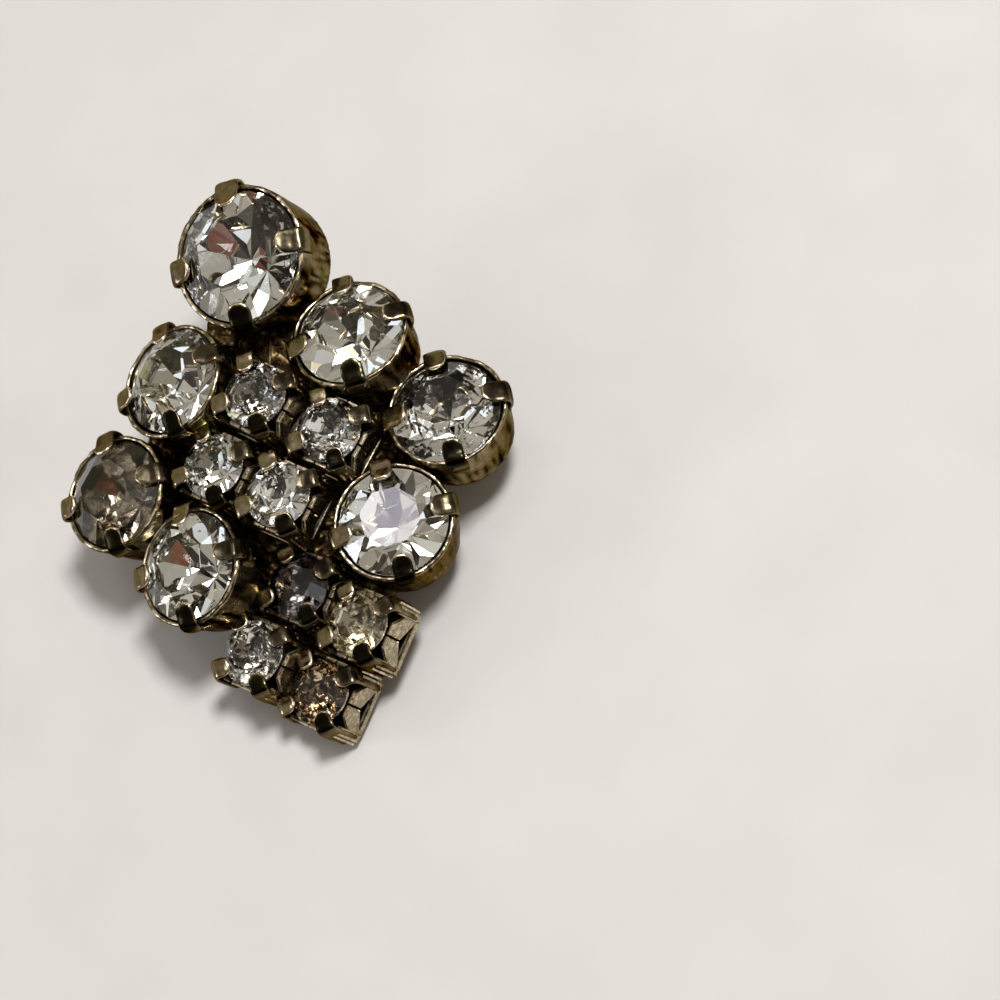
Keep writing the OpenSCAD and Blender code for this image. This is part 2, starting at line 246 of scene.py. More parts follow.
@dataclass(frozen=True)
class AgedPlate(Finish):
    """Stamped white metal under worn silver plate, tarnished warm brown and olive.

    The plate mirrors softly. Rubbed edges are bright cream. A patina darkens it to a glossy olive black,
    and it also paints shade low on the cups' walls and a dark reflection on the claws' faces. Dirt and
    old flux lie matt in the crevices, and their near-black also paints the shade that falls in the
    crevices, inside the settings and low on their walls. Three attributes tell how far each goes. Each
    is made uneven by a share of noise and comes in over a span. noises gives the length in mm, the
    detail and the roughness of the broad noise, the fine one and the dents, which like the specks of
    rust are as coarse as they need to be to show.
    """

    plate: str = "a3967c"
    warm: str = "6e5840"
    olive: str = "918d66"
    worn: str = "f4e2c6"
    # Near-black of the dirt, which also paints the shade in crevices, inside the settings and low on their
    # walls.
    dirt_and_shade: str = "0d0906"
    # Olive black of the patina, which also paints shade low on the walls and a dark reflection on the claws.
    patina_and_shade: str = "1b1910"
    edge: str = "9a9080"
    rust: str = "2c1a0d"
    grain: tuple[str, str] = ("8d8271", "f4eee2")
    rough: float = 0.1
    rough_spread: float = 0.22
    dirt_rough: float = 0.4
    mottle: float = 0.48
    gloss: float = 0.12
    noises: tuple[Triple, ...] = ((2.4, 3.0, 0.55), (0.32, 4.0, 0.65), (0.7, 5.0, 0.6))
    speck_mm: float = 0.2
    dent: float = 0.3
    dent_depth_mm: float = 0.05
    uneven_wear: float = 0.9
    uneven_patina_and_shade: float = 0.6
    uneven_grime_and_shade: float = 0.55
    wear_span: Span = (0.95, 1.25)
    patina_and_shade_span: Span = (0.35, 1.1)
    grime_and_shade_span: Span = (0.55, 1.05)

    def look(self, nodes: Nodes) -> dict:
        """Tarnished plate, with the patina, which also paints shade and dark reflection, the rubbed metal,
        and the dirt, which also paints shade, laid over it in turn.

        Args:
            nodes: The material's nodes.

        Returns:
            The shader's inputs by name.
        """
        place = nodes.add("TexCoord", "Object")
        textures = []
        for length, detail, rough in self.noises:
            noise = {"Vector": place, "Scale": per_metre(length), "Detail": detail, "Roughness": rough}
            textures.append(nodes.add("TexNoise", "Fac", noise))
        broad, fine, dents = textures
        layers = (
            ("patina_and_shade", broad, self.uneven_patina_and_shade, self.patina_and_shade_span),
            ("wear", fine, self.uneven_wear, self.wear_span),
            ("grime_and_shade", fine, self.uneven_grime_and_shade, self.grime_and_shade_span),
        )
        shares = []
        for name, texture, uneven, (low, high) in layers:
            amount = nodes.add("Attribute", "Fac", attribute_name=name)
            spread = nodes.add("Math", 0, {0: texture, 1: uneven, 2: amount}, **TIMES_PLUS)
            limits = {"Value": spread, "From Min": low, "From Max": high}
            shares.append(nodes.add("MapRange", "Result", limits, **SOFTLY))
        # The first share is patina that also paints shade and dark reflection, and the last is dirt that also
        # paints shade.
        blackened_and_shaded, rubbed, soiled_and_shaded = shares
        tones = ((0.3, self.olive), (0.44, self.plate), (0.56, self.plate), (0.7, self.warm))
        tarnish = nodes.add("ValToRGB", "Color", {"Fac": broad}, tones)
        grain = nodes.add("ValToRGB", "Color", {"Fac": fine}, tuple(zip((0.35, 0.62), self.grain)))
        mottled = {"Fac": self.mottle, "Color1": tarnish, "Color2": grain}
        colour = nodes.add("MixRGB", "Color", mottled, blend_type="MULTIPLY")
        # The specks run from rust to the near-black that also paints shade in the crevices.
        specks = nodes.add("TexVoronoi", "Distance", {"Vector": place, "Scale": per_metre(self.speck_mm)})
        residue = nodes.add("ValToRGB", "Color", {"Fac": specks}, ((0.15, self.rust), (0.45, self.dirt_and_shade)))
        for share, over in ((blackened_and_shaded, linear(self.patina_and_shade)), (rubbed, linear(self.worn)), (soiled_and_shaded, residue)):
            colour = nodes.add("MixRGB", "Color", {"Fac": share, "Color1": colour, "Color2": over})
        dull = nodes.add("Math", 0, {0: fine, 1: self.rough_spread, 2: self.rough}, **TIMES_PLUS)
        dented = {"Height": dents, "Strength": self.dent, "Distance": self.dent_depth_mm * MM}
        matt = {0: soiled_and_shaded, 1: self.dirt_rough, 2: dull}
        return {
            "Base Color": colour,
            "Metallic": nodes.add("MapRange", "Result", {"Value": soiled_and_shaded, "To Min": 1.0, "To Max": 0.0}),
            "Specular IOR Level": self.gloss,
            "Specular Tint": linear(self.edge),
            "Roughness": nodes.add("Math", 0, matt, use_clamp=True, **TIMES_PLUS),
            "Normal": nodes.add("Bump", "Normal", dented),
        }


@dataclass(frozen=True)
class Plaster(Finish):
    """Plain pale plaster, faintly uneven in tone."""

    dark: str = "bab7b4"
    pale: str = "bfbcb9"
    rough: float = 0.8
    cloud_mm: float = 9.0

    def look(self, nodes: Nodes) -> dict:
        """A matt colour between two tones.

        Args:
            nodes: The material's nodes.

        Returns:
            The shader's inputs by name.
        """
        noise = {"Vector": nodes.add("TexCoord", "Object"), "Scale": per_metre(self.cloud_mm), "Detail": 6.0}
        clouds = nodes.add("TexNoise", "Fac", noise)
        tone = nodes.add("ValToRGB", "Color", {"Fac": clouds}, ((0.3, self.dark), (0.7, self.pale)))
        return {"Base Color": tone, "Roughness": self.rough}


@dataclass
class Shell:
    """Points, faces and per-point values of a mesh in the making.

    faces holds arrays of corner numbers, one array for each count of corners, and slots the
    material slot of the faces of the array beside it.
    """

    points: Array
    faces: list[Array]
    slots: list[int]
    values: dict[str, Array] = field(default_factory=dict)

    @staticmethod
    def joined(shells: list["Shell"]) -> "Shell":
        """Join several shells into one. A value that one of them lacks is 0 there."""
        names = sorted(set().union(*(s.values for s in shells)))
        starts = np.cumsum([0] + [len(s.points) for s in shells])
        return Shell(
            np.concatenate([s.points for s in shells]),
            [f + start for s, start in zip(shells, starts) for f in s.faces],
            [slot for s in shells for slot in s.slots],
            {n: np.concatenate([s.values.get(n, np.zeros(len(s.points))) for s in shells]) for n in names},
        )

    def mark(self, name: str, values: Array, first: float = 0.0, last: float = 0.0) -> None:
        """Keep a value for each point of a closed grid, and for the points at its two ends."""
        self.values[name] = np.append(values, [first, last])

    def shake(self, size: float, length: float, seed: int, way: Array) -> None:
        """Move the points along a way by smooth noise of a size and a length."""
        self.points = self.points + size * ripple(self.points, length, seed)[:, None] * way

    def made(self, name: str, materials: list[bpy.types.Material], smooth: bool) -> bpy.types.Object:
        """Turn the shell into an object at the origin, in metres.

        Args:
            name: The piece's name.
            materials: Its material slots in order.
            smooth: Whether its faces shade smoothly.

        Returns:
            The new object, linked into the scene.
        """
        mesh = bpy.data.meshes.new(name)
        mesh.from_pydata((self.points * MM).tolist(), [], [row for f in self.faces for row in f.tolist()])
        for attribute, values in self.values.items():
            layer = mesh.attributes.new(attribute, "FLOAT", "POINT")
            layer.data.foreach_set("value", unit(values).astype(np.float32))
        index = np.concatenate([np.full(len(f), s) for f, s in zip(self.faces, self.slots)])
        mesh.polygons.foreach_set("material_index", index.astype(np.int32))
        mesh.polygons.foreach_set("use_smooth", np.full(len(mesh.polygons), smooth))
        for material in materials:
            mesh.materials.append(material)
        mesh.update()
        piece = bpy.data.objects.new(name, mesh)
        bpy.context.scene.collection.objects.link(piece)
        return piece


def unit(values: Array) -> Array:
    """Values pressed between 0 and 1."""
    return np.clip(values, 0.0, 1.0)


def level(ways: Array) -> Array:
    """Ways brought to unit length, one in each row."""
    return ways / np.linalg.norm(ways, axis=-1, keepdims=True)


def squared(ways: Array, axis: Array) -> Array:
    """The parts of ways that are square to an axis, brought to unit length."""
    return level(ways - (ways * axis).sum(axis=-1, keepdims=True) * axis)


def closing(t: Array, length: float) -> Array:
    """Shares that climb as a root from 0 at either end of 0 to 1, to be 1 from a length on."""
    return np.sqrt(unit(np.minimum(t, 1.0 - t) / length))


def spun(points: Array, angle: float) -> Array:
    """Points turned round +Z by an angle in radians."""
    c, s = math.cos(angle), math.sin(angle)
    return points @ np.array([[c, s, 0.0], [-s, c, 0.0], [0.0, 0.0, 1.0]])


def ring(radius: float, angles: Array, z: Array | float) -> Array:
    """Points round +Z at a radius, at angles in radians and at heights."""
    return np.column_stack([radius * np.cos(angles), radius * np.sin(angles), z + 0.0 * angles])


def squared_circle(count: int, power: float) -> list[Array]:
    """Cosines and sines of even steps round a circle, with their sizes raised to a power."""
    a = np.arange(count) * TAU / count
    return [np.sign(wave) * np.abs(wave) ** power for wave in (np.cos(a), np.sin(a))]


def grid_faces(rows: int, columns: int) -> Array:
    """Number the corners of the quads of a grid whose columns close on themselves.

    Args:
        rows: Points along the first parameter.
        columns: Points along the second parameter.

    Returns:
        An array of quads, whose outside is to the left of growing rows and columns.
    """
    i = np.arange(rows - 1)[:, None] * columns
    j = np.arange(columns)[None, :]
    k = (j + 1) % columns
    return np.stack([i + j, i + k, i + columns + k, i + columns + j], axis=-1).reshape(-1, 4)


def tube_shell(grid: Array) -> Shell:
    """Close a grid that wraps along its second parameter with a point at either end.

    The end points are the means of the first and of the last row.

    Args:
        grid: Points by row, column and coordinate.

    Returns:
        A closed shell.
    """
    rows, columns, _ = grid.shape
    points = np.concatenate([grid.reshape(-1, 3), grid[:1].mean(axis=1), grid[-1:].mean(axis=1)])
    j = np.arange(columns)
    k = (j + 1) % columns
    first, top = rows * columns, (rows - 1) * columns
    low = np.stack([np.full(columns, first), k, j], axis=-1)
    high = np.stack([np.full(columns, first + 1), top + j, top + k], axis=-1)
    return Shell(points, [grid_faces(rows, columns), low, high], [0, 0, 0])


def ripple(points: Array, length: float, seed: int) -> Array:
    """Smooth noise, mostly between -1 and 1: a quarter of the sum of sixteen plane waves.

    Args:
        points: Where it is wanted, in mm.
        length: The waves' middling length in mm.
        seed: What sets the waves' ways, lengths and phases.

    Returns:
        One value for each point.
    """
    draw = np.random.default_rng(seed)
    ways = draw.normal(size=(16, 3))
    ways *= (TAU / length * draw.uniform(0.6, 1.5, 16) / np.linalg.norm(ways, axis=1))[:, None]
    phases = draw.uniform(0.0, TAU, 16)
    return np.sin(points @ ways.T + phases).sum(axis=-1) / 4.0


def eased(path: Array, count: int) -> Array:
    """Carry a smooth line near the corners of a path.

    The corners are cut three times at a quarter and three quarters of each stretch, and the
    line is then read at even steps of its length.

    Args:
        path: Corners by row.
        count: How many points the line has.

    Returns:
        The line's points.
    """
    for _ in range(3):
        near = 0.75 * path[:-1] + 0.25 * path[1:]
        far = 0.25 * path[:-1] + 0.75 * path[1:]
        middle = np.stack([near, far], axis=1).reshape(-1, path.shape[1])
        path = np.concatenate([path[:1], middle, path[-1:]])
    steps = np.concatenate([[0.0], np.cumsum(np.linalg.norm(np.diff(path, axis=0), axis=1))])
    wanted = np.linspace(0.0, steps[-1], count)
    return np.stack([np.interp(wanted, steps, column) for column in path.T], axis=1)


def swept(
    path: Array, across: Array, widths: Array, thicks: Array, boxy: float, sides: int
) -> Shell:
    """Carry a rounded flat section along a path.

    Its point at angle a is path + across * width / 2 * C(a) + up * thick / 2 * S(a), where C and S
    are the cosine and sine with their sizes raised to 2 / boxy, and up is square to path and across.

    Args:
        path: Middle of each section.
        across: The way of the width.
        widths: Width of each section.
        thicks: Thickness of each section.
        boxy: 2 for an ellipse and more for a flatter section.
        sides: Points round a section.

    Returns:
        A closed shell.
    """
    along = level(np.gradient(path, axis=0))
    across = squared(across, along)
    up = np.cross(along, across)
    c, s = squared_circle(sides, 2.0 / boxy)
    wide = across[:, None, :] * (widths / 2.0)[:, None, None] * c[None, :, None]
    high = up[:, None, :] * (thicks / 2.0)[:, None, None] * s[None, :, None]
    return tube_shell(path[:, None, :] + wide + high)


class Size(Enum):
    """The three sizes of stone: the radius that such a stone is under, and its setting's depth."""

    SMALL = (2.5, 2.9)
    MEDIUM = (3.9, 3.8)
    LARGE = (9.0, 4.5)

    @property
    def depth(self) -> float:
        """How deep the setting is behind the girdle, in mm."""
        return self.value[1]

    @staticmethod
    def of(radius: float) -> "Size":
        """The size of a stone of this radius in mm."""
        return next(s for s in Size if radius < s.value[0])


@dataclass(frozen=True)
class Seat:
    """Where one stone sits: the middle of its girdle in mm, its three ways as rows, its radius."""

    name: str
    middle: Array
    ways: Array
    radius: float

    @staticmethod
    def of_stone(stone: bpy.types.Object) -> "Seat":
        """Read a seat from a stone of the frame.

        The way out is the one in which the stone's corners spread least, and the deepest corner
        lies behind. Claws stand at the middles of the table's sides, so its corners give the turn.

        Args:
            stone: The stone's object.

        Returns:
            Its seat.
        """
        corners = np.empty(len(stone.data.vertices) * 3)
        stone.data.vertices.foreach_get("co", corners)
        corners = np.unique(np.round(corners.reshape(-1, 3) / MM, 3), axis=0)
        spread = corners - corners.mean(axis=0)
        out = np.linalg.eigh(spread.T @ spread)[1][:, 0]
        heights = spread @ out
        out = -out * np.sign(heights[np.argmax(np.abs(heights))])
        heights = spread @ out
        flat = corners - corners[np.argmin(heights)]
        flat = flat - (flat @ out)[:, None] * out
        reach = np.linalg.norm(flat, axis=1)
        radius = float(reach.max())
        middle = corners[reach > GIRDLE_SHARE * radius].mean(axis=0)
        table = flat[heights > heights.max() - TABLE_SLACK]
        head = squared(np.array([0.0, 1.0, 0.0]), out)
        right = np.cross(head, out)
        turns = np.degrees(np.arctan2(-(table @ right), table @ head) - EIGHTH / 2.0)
        turn = np.radians(np.median((turns - LEAST_TURN) % np.degrees(EIGHTH) + LEAST_TURN))
        head_claw = math.cos(turn) * head - math.sin(turn) * right
        return Seat(stone.name, middle, np.stack([np.cross(head_claw, out), head_claw, out]), radius)

    def place(self, points: Array) -> Array:
        """Carry points from the setting's own frame to the earring's."""
        return points @ self.ways + self.middle

    def behind(self, depth: float) -> Array:
        """The point on the setting's axis that lies a depth behind the girdle."""
        return self.middle - depth * self.ways[2]

    @property
    def size(self) -> Size:
        """The size of the stone that sits here."""
        return Size.of(self.radius)


@dataclass(frozen=True)
class Cut:
    """How a stone is cut, as the frame's are.

    crown, back and table are shares of the width, ridge is a share of the radius, and steps is how
    many edges stand for one facet's side of the round girdle. radius and girdle are in mm.
    """

    radius: float
    crown: float = 0.17
    back: float = 0.42
    table: float = 0.56
    girdle: float = 0.2
    ridge: float = 0.6
    steps: int = 4

    def crown_at(self, distance: float) -> float:
        """How high the cone from girdle to table stands at a distance from the axis."""
        fall = (self.crown * 2.0 * self.radius - self.girdle / 2.0) / (self.radius * (1.0 - self.table))
        return self.girdle / 2.0 + (self.radius - distance) * fall

    def shell(self) -> Shell:
        """Build the stone with its table up and its girdle round.

        The girdle's edges are where the round wall of the stone meets the planes of its facets,
        so they dip and rise a little, and each outer edge has a few steps.

        Returns:
            A closed shell: slot 0 is clear glass and slot 1 the silvered back.
        """
        half, radius = EIGHTH / 2.0, self.radius
        edge = self.girdle / 2.0
        top = self.crown * 2.0 * radius
        deep = edge + self.back * 2.0 * radius
        table_r, fork_r = self.table * radius, self.ridge * radius
        chord = radius * math.cos(half / 2.0)
        slope = (deep - edge) / chord
        fork_z = slope * fork_r * math.cos(half) - deep
        n = 16 * self.steps
        around = np.arange(n)
        angles = half / 2.0 + around * TAU / n
        sector = around // self.steps
        is_triangle = sector % 2 == 0
        middles = np.where(is_triangle, half + (sector // 2) * EIGHTH, ((sector + 1) // 2) * EIGHTH)
        inner = np.where(is_triangle, table_r, table_r * math.cos(half))
        fall = np.where(is_triangle, (-edge - fork_z) / (chord - fork_r), slope)
        past = np.where(around % self.steps == 0, 0.0, radius * np.cos(angles - middles) - chord)
        corner = half + np.arange(8) * EIGHTH
        rings = [
            ring(table_r, corner, top),
            ring(radius, angles, edge - past * (top - edge) / (chord - inner)),
            ring(radius, angles, -edge + past * fall),
            ring(fork_r, corner, fork_z),
        ]
        up0, low0, fork0 = 8, 8 + n, 8 + 2 * n
        q = np.arange(8)[:, None]
        run = np.arange(self.steps + 1)[None, :]
        tri_ring = (2 * q * self.steps + run) % n
        quad_ring = ((2 * q - 1) * self.steps + run) % n
        before = (q + 7) % 8
        beside = (around + 1) % n
        tip = np.full((8, 1), fork0 + 8)
        faces = [
            np.arange(8)[None, :],
            np.concatenate([before, up0 + quad_ring, q], axis=1),
            np.concatenate([q, up0 + tri_ring], axis=1),
            np.stack([up0 + around, low0 + around, low0 + beside, up0 + beside], axis=1),
            np.concatenate([tip, fork0 + q, low0 + quad_ring[:, ::-1], fork0 + before], axis=1),
            np.concatenate([fork0 + q, low0 + tri_ring[:, ::-1]], axis=1),
        ]
        return Shell(np.concatenate(rings + [[[0.0, 0.0, -deep]]]), faces, [0, 0, 0, 0, 1, 1])


@dataclass(frozen=True)
class ClawShape:
    """One claw: a tongue that rises from the wall and bends in over the stone, in mm.

    foot is how far under the girdle it starts, root its width there as a share, proud how far its
    shoulder stands off the wall, blunt the length of its round end in widths, and clear the gap
    between it and the glass.
    """

    width: float
    thick: float
    reach: float
    foot: float = 1.5
    root: float = 0.8
    proud: float = 0.36
    blunt: float = 0.52
    clear: float = 0.06
    lumpy: float = 0.03
    rows: int = 36
    sides: int = 24

    def corners(self, cut: Cut, side: float, tip_r: float) -> Array:
        """The middle line's corners from foot to tip, as distances from the axis and heights.

        Args:
            cut: The stone's cut.
            side: The radius of the wall's outside.
            tip_r: Where the tip ends.

        Returns:
            One corner in each row.
        """
        lift = self.clear + self.thick / 2.0
        bend_r = cut.radius - self.reach / 3.0
        flush = side - self.thick / 2.0
        stand = flush + self.proud
        wall = [[flush - 0.02, -self.foot], [flush + 0.02, -self.foot * 0.6], [stand, -0.3], [stand, 0.2]]
        over = [[stand - 0.16, 0.3 + lift], [bend_r + 0.1, cut.crown_at(bend_r) + lift + 0.06]]
        end = [[r, cut.crown_at(r) + lift - dip] for r, dip in ((tip_r + 0.25, 0.0), (tip_r, 0.04))]
        return np.array(wall + over + end)

    def shell(self, cut: Cut, wall: float, angle: float, tarnish: float, draw: np.random.Generator) -> Shell:
        """Build a claw at an angle round its setting.

        Its width swells from the root and closes in a half ellipse at the tip, and its thickness
        closes at both ends.

        Args:
            cut: The stone's cut.
            wall: The radius of the wall's outside.
            angle: Where the claw stands.
            tarnish: How far its face is painted dark, a painted dark reflection set by the claw's side.
            draw: What makes no two claws alike.

        Returns:
            A closed shell, marked with wear, with grime that also paints shade at its root, and with patina
            that paints a dark reflection on its face.
        """
        corners = self.corners(cut, wall, cut.radius - self.reach * draw.uniform(0.9, 1.04))
        length = float(np.linalg.norm(np.diff(corners, axis=0), axis=1).sum())
        line = eased(corners, self.rows)
        t = np.linspace(0.0, 1.0, self.rows)
        path = np.column_stack([line[:, 0], draw.uniform(-0.12, 0.12) * t**2, line[:, 1]])
        blunt = self.blunt * self.width / length
        # t runs from 0 at the root to 1 at the tip. It swells to its width in the first 0.45 of that.
        swell = self.root + (1.0 - self.root) * unit(t / 0.45) ** 1.5
        tip = np.sqrt(unit(1.0 - (unit(t - 1.0 + blunt) / (blunt * 1.03)) ** 2))
        start = np.sqrt(unit(t / 0.08))
        widths = self.width * draw.uniform(0.92, 1.06) * swell * (0.12 + 0.88 * tip) * (0.5 + 0.5 * start)
        thicks = self.thick * (0.35 + 0.65 * np.sqrt(tip)) * (0.3 + 0.7 * start)
        shell = swept(path, np.array([0.0, 1.0, 0.0]), widths, thicks, boxy=3.0, sides=self.sides)
        # The edges and the tip are rubbed, the root is dirty and also painted in shade where it meets the
        # wall, and the face past the shoulder is painted dark as a dark reflection.
        side = np.abs(squared_circle(self.sides, 3.0)[0])
        edge = unit(0.7 * side * swell[:, None] + 1.2 * (1.0 - tip)[:, None])
        bent = unit((t - (self.foot + 0.1) / length) / 0.12)[:, None]
        shell.mark("wear", edge * unit(t * 2.0 - 0.9)[:, None], 0.0, 1.0)
        shell.mark("grime_and_shade", np.repeat(unit(0.5 - 1.5 * t), self.sides), 0.6, 0.0)
        shell.mark("patina_and_shade", tarnish * (0.45 + 0.55 * bent) * (1.0 - 0.6 * edge))
        shell.points = spun(shell.points, angle + draw.uniform(-0.05, 0.05))
        shell.shake(self.lumpy, 0.9, int(draw.integers(1 << 30)), np.array([0.3, 0.3, 0.6]))
        return shell

    def four(self, cut: Cut, wall: float, draw: np.random.Generator) -> list[Shell]:
        """The claws of a setting, a quarter turn apart."""
        return [self.shell(cut, wall, q * QUARTER, dark, draw) for q, dark in enumerate(CLAW_PAINTED_SHADE)]


@dataclass(frozen=True)
class RoundCup:
    """A stamped round cup with four claws, in mm.

    gap is between glass and wall, rim the wall's thickness at the lip and metal elsewhere, and
    wave, dent and flute are the depths of the lip's waves, the dents and the fine upright lines.
    """

    depth: float
    claw: ClawShape
    gap: float = 0.06
    rim: float = 0.22
    metal: float = 0.35
    wave: float = 0.05
    dent: float = 0.03
    flute: float = 0.022
    rows: int = 60
    columns: int = 144

    def section(self, r: float) -> Array:
        """The wall's section for a stone of radius r: up the outside, over the lip and down within."""
        inner = r + self.gap
        outer = inner + self.rim
        within = r - self.metal
        d = self.depth
        back = [[0.02, 0.01 - d], [outer * 0.8, 0.01 - d], [outer * 0.87, 0.03 - d], [outer * 0.93, 0.32 - d]]
        wall = [[outer * 0.965, -d / 2.0], [outer - 0.02, -0.6], [outer, -0.05]]
        lip = [[outer + 0.01, 0.12], [outer - 0.05, 0.19], [inner, 0.19], [inner - 0.05, 0.12]]
        inside = [[inner, -0.1], [inner, -0.5], [within, -0.58]]
        floor = [[within - 0.25, self.metal - d], [0.02, self.metal - d]]
        return eased(np.array(back + wall + lip + inside + floor), self.rows)

    def shell(self, seat: Seat, seed: int) -> Shell:
        """Build the cup at its seat: its section turned round the axis and moved by smooth noise.

        Args:
            seat: Where it sits.
            seed: What makes no two cups alike.

        Returns:
            The cup and its claws, marked with wear, with grime that also paints shade, and with patina that
            also paints shade.
        """
        draw = np.random.default_rng(seed)
        r = seat.radius
        inner = r + self.gap
        line = self.section(r)
        circle = ring(1.0, np.arange(self.columns) * TAU / self.columns, 0.0)
        rho, z = (np.repeat(line[:, k : k + 1], self.columns, axis=1) for k in (0, 1))
        # The lip is where a bell of height is near 1. It waves up and down and in, and the wall dents.
        near_lip = np.exp(-(((z - 0.15) / 0.22) ** 2)) * (rho > inner - 0.12)
        waves = 0.7 * ripple(circle * r, 1.7, seed + 1) + 0.5 * ripple(circle * r, 0.6, seed + 4)
        even = np.dstack([rho * circle[:, 0], rho * circle[:, 1], z])
        dents = np.abs(ripple(even, 2.0, seed + 2)) * (rho > inner - 0.05)
        rho = rho - self.dent * dents - 0.02 * near_lip * np.abs(waves)
        z = z + near_lip * self.wave * (waves - 0.6)
        before_lip = np.arange(self.rows)[:, None] < int(np.argmax(line[:, 1]))
        outside = before_lip & (rho > 0.8 * r) & (z < 0.1)
        # Noise that is stretched along the axis makes the fine upright lines of the outside.
        upright = even * np.array([1.0, 1.0, 0.12])
        lines = 0.6 * ripple(upright, 0.34, seed + 6) + 0.6 * ripple(upright, 0.9, seed + 9)
        rho = rho + self.flute * lines * outside
        grid = np.dstack([rho * circle[:, 0], rho * circle[:, 1], z])
        # Wear is on the lip and in streaks. Dirt lies within and low down, and it also paints shade: the
        # inside of the cup is dark and the outside darkens toward the bottom. Patina lies between the lines
        # and, as painted shade, grows toward the bottom.
        lip = np.exp(-(((z - 0.16) / 0.1) ** 2)) * (rho > inner - 0.08)
        # deep climbs toward the bottom of the wall, and there it adds painted shade.
        deep = unit((-z - 0.5) / (0.6 * self.depth))
        patchy = unit(0.6 + 1.2 * ripple(grid, 0.7, seed + 3))
        streaks = unit(0.1 + 0.9 * lines) * unit(0.5 + ripple(grid, 2.4, seed + 7))
        grime_and_shade = np.where(before_lip, 0.1 + 0.22 * deep, 0.85)
        shell = tube_shell(grid)
        shell.mark("wear", lip * patchy + 0.55 * streaks * outside)
        shell.mark("grime_and_shade", np.where(lip > 0.4, 0.0, grime_and_shade), 0.8, 0.8)
        shell.mark("patina_and_shade", unit(0.2 - 0.38 * lines + 0.15 * deep) * outside, 0.4, 0.4)
        whole = Shell.joined([shell, *self.claw.four(Cut(r), inner + self.rim, draw)])
        whole.points = seat.place(whole.points)
        return whole


@dataclass(frozen=True)
class SquareSetting:
    """A small stamped setting: four corner claws over a square base with slanting arms, in mm."""

    depth: float
    claw: ClawShape
    side: float = 4.5
    corner: float = 0.7
    metal: float = 0.35
    arm: float = 0.95
    bevel: float = 0.06
    wave: float = 0.02
    columns: int = 48

    def shells(self, seat: Seat, seed: int) -> tuple[Shell, Shell]:
        """Build the setting at its seat: base, claws and sides, moved a little by smooth noise.

        Args:
            seat: Where it sits.
            seed: What makes no two settings alike.

        Returns:
            The base with the claws, and the flat sides.
        """
        draw = np.random.default_rng(seed)
        reach = (self.side / 2.0 - self.corner) * math.sqrt(2.0) + self.corner
        plates = []
        for q in range(4):
            for plate in self.side_plates():
                plate.points = spun(plate.points, EIGHTH + q * QUARTER)
                plates.append(plate)
        claws = self.claw.four(Cut(seat.radius), reach, draw)
        wholes = (Shell.joined([self.base(), *claws]), Shell.joined(plates))
        for whole in wholes:
            whole.shake(self.wave, 1.8, seed + 5, np.array([0.5, 0.5, 0.3]))
            whole.points = seat.place(whole.points)
        return wholes

    def base(self) -> Shell:
        """The base plate: a rounded square, its section's points carried round a squared circle."""
        d = self.depth
        c, s = squared_circle(self.columns, 0.36)
        corners = [[0.1, 0.01 - d], [0.93, 0.01 - d], [0.99, 0.12 - d], [0.98, 0.34 - d], [0.1, 0.34 - d]]
        section = eased(np.array(corners), 14)
        size = (self.side / 2.0 - 0.04) * section[:, :1]
        grid = np.dstack([size * c, size * s, np.repeat(section[:, 1:], self.columns, axis=1)])
        shell = tube_shell(spun(grid, EIGHTH))
        # Its top, under the stone, is dark with dirt that also paints the shade there, and the rest is
        # lightly soiled.
        grime_and_shade = np.where(section[:, 1] > 0.2 - d, 0.8, 0.35)
        shell.mark("grime_and_shade", np.repeat(grime_and_shade, self.columns), 0.6, 0.9)
        return shell

    def side_plates(self) -> list[Shell]:
        """The stamped side that faces +X: a rail, and a post and a slanting arm on either hand.

        Returns:
            A bevelled plate for each.
        """
        # On either hand, edge and post are the two sides of the post, and rail is the rail's end.
        half = self.side / 2.0
        edge = half - 0.8
        rail = edge + 0.2
        post = half - 0.25
        bottom, low, top = 0.02 - self.depth, self.metal + 0.05 - self.depth, -0.42
        outlines = [np.array([[-rail, bottom], [rail, bottom], [rail, low], [-rail, low]])]
        for s in (-1, 1):
            arm = [[edge + 0.1, low - 0.1], [edge + 0.1, low + 1.1 * self.arm], [0.85 * self.arm, top]]
            arm += [[0.07, top], [0.07, top - 1.3 * self.arm]]
            stand = [[edge, bottom], [post, bottom], [post, top], [edge, top]]
            outlines += [(np.array(part) * [s, 1.0])[::s] for part in (arm, stand)]
        return [bevelled_plate(o, half - self.metal, half - 0.01, self.bevel) for o in outlines]


def bevelled_plate(outline: Array, inside: float, outside: float, bevel: float) -> Shell:
    """Extrude a convex outline of the YZ plane along X, with its outer edge bevelled.

    Args:
        outline: Corners, counterclockwise as seen from +X.
        inside: Where the plate begins along X.
        outside: Where its outer face lies.
        bevel: How much the edge is cut.

    Returns:
        A closed shell whose bevel is marked as worn.
    """
    count = len(outline)
    inset = outline + 1.3 * bevel * level(outline.mean(axis=0) - outline)
    rings = [(inside, outline), (outside - bevel, outline), (outside, inset)]
    points = np.concatenate([np.column_stack([np.full(count, x), corners]) for x, corners in rings])
    k = np.arange(count)
    faces = [grid_faces(3, count), k[None, ::-1], (2 * count + k)[None, :]]
    # The inner face is dark with dirt that also paints the shade there, and the bevel and the outer face are
    # worn.
    values = {"wear": np.repeat([0.0, 0.75, 0.55], count), "grime_and_shade": np.repeat([0.9, 0.1, 0.1], count)}
    return Shell(points, faces, [0, 0, 0], values)


